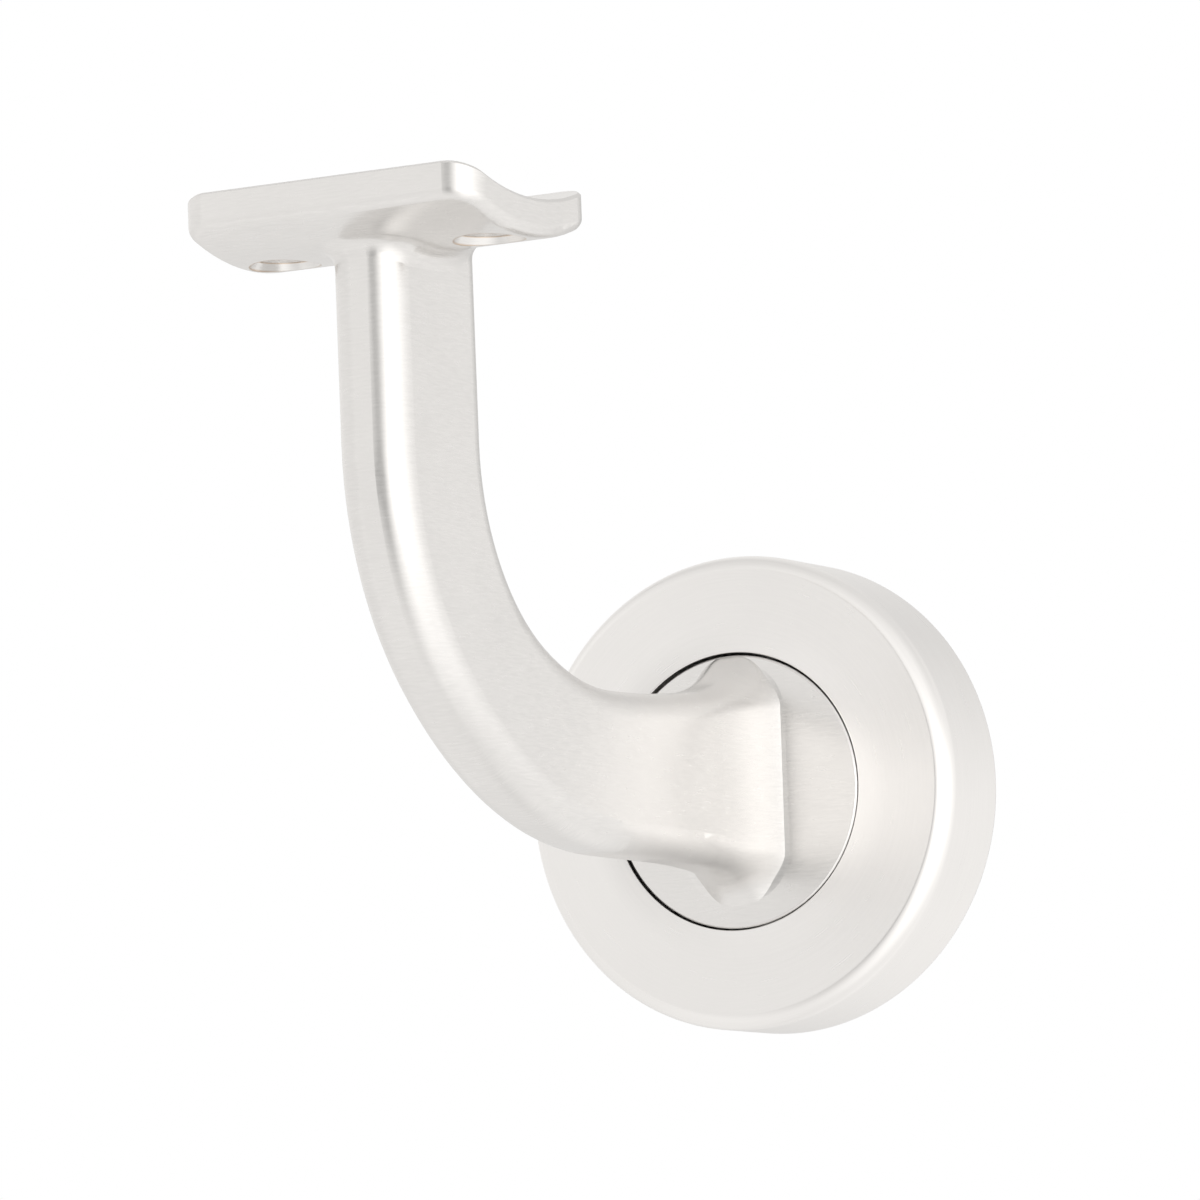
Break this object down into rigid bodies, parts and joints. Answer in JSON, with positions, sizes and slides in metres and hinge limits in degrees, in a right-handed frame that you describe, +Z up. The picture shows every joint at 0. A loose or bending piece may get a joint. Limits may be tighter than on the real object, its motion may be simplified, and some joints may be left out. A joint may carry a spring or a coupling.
{
  "type": "handrail bracket",
  "caption": "Wall-mounted handrail bracket: curved arm rising from a round cover rose to a curved saddle under the rail.",
  "frame": {"origin": "centre of the rose on the wall plane", "axes": "+Y into the wall, so the bracket stands out along -Y; +X along the rail; +Z up"},
  "size_m": [0.05, 0.0916, 0.0802],
  "materials": {
    "satin_casting": "satin, finely brushed",
    "satin_rose": "satin"
  },
  "bodies": {
    "root": {"bracket_casting": "satin_casting", "cover_rose": "satin_rose"}
  },
  "joints": []
}
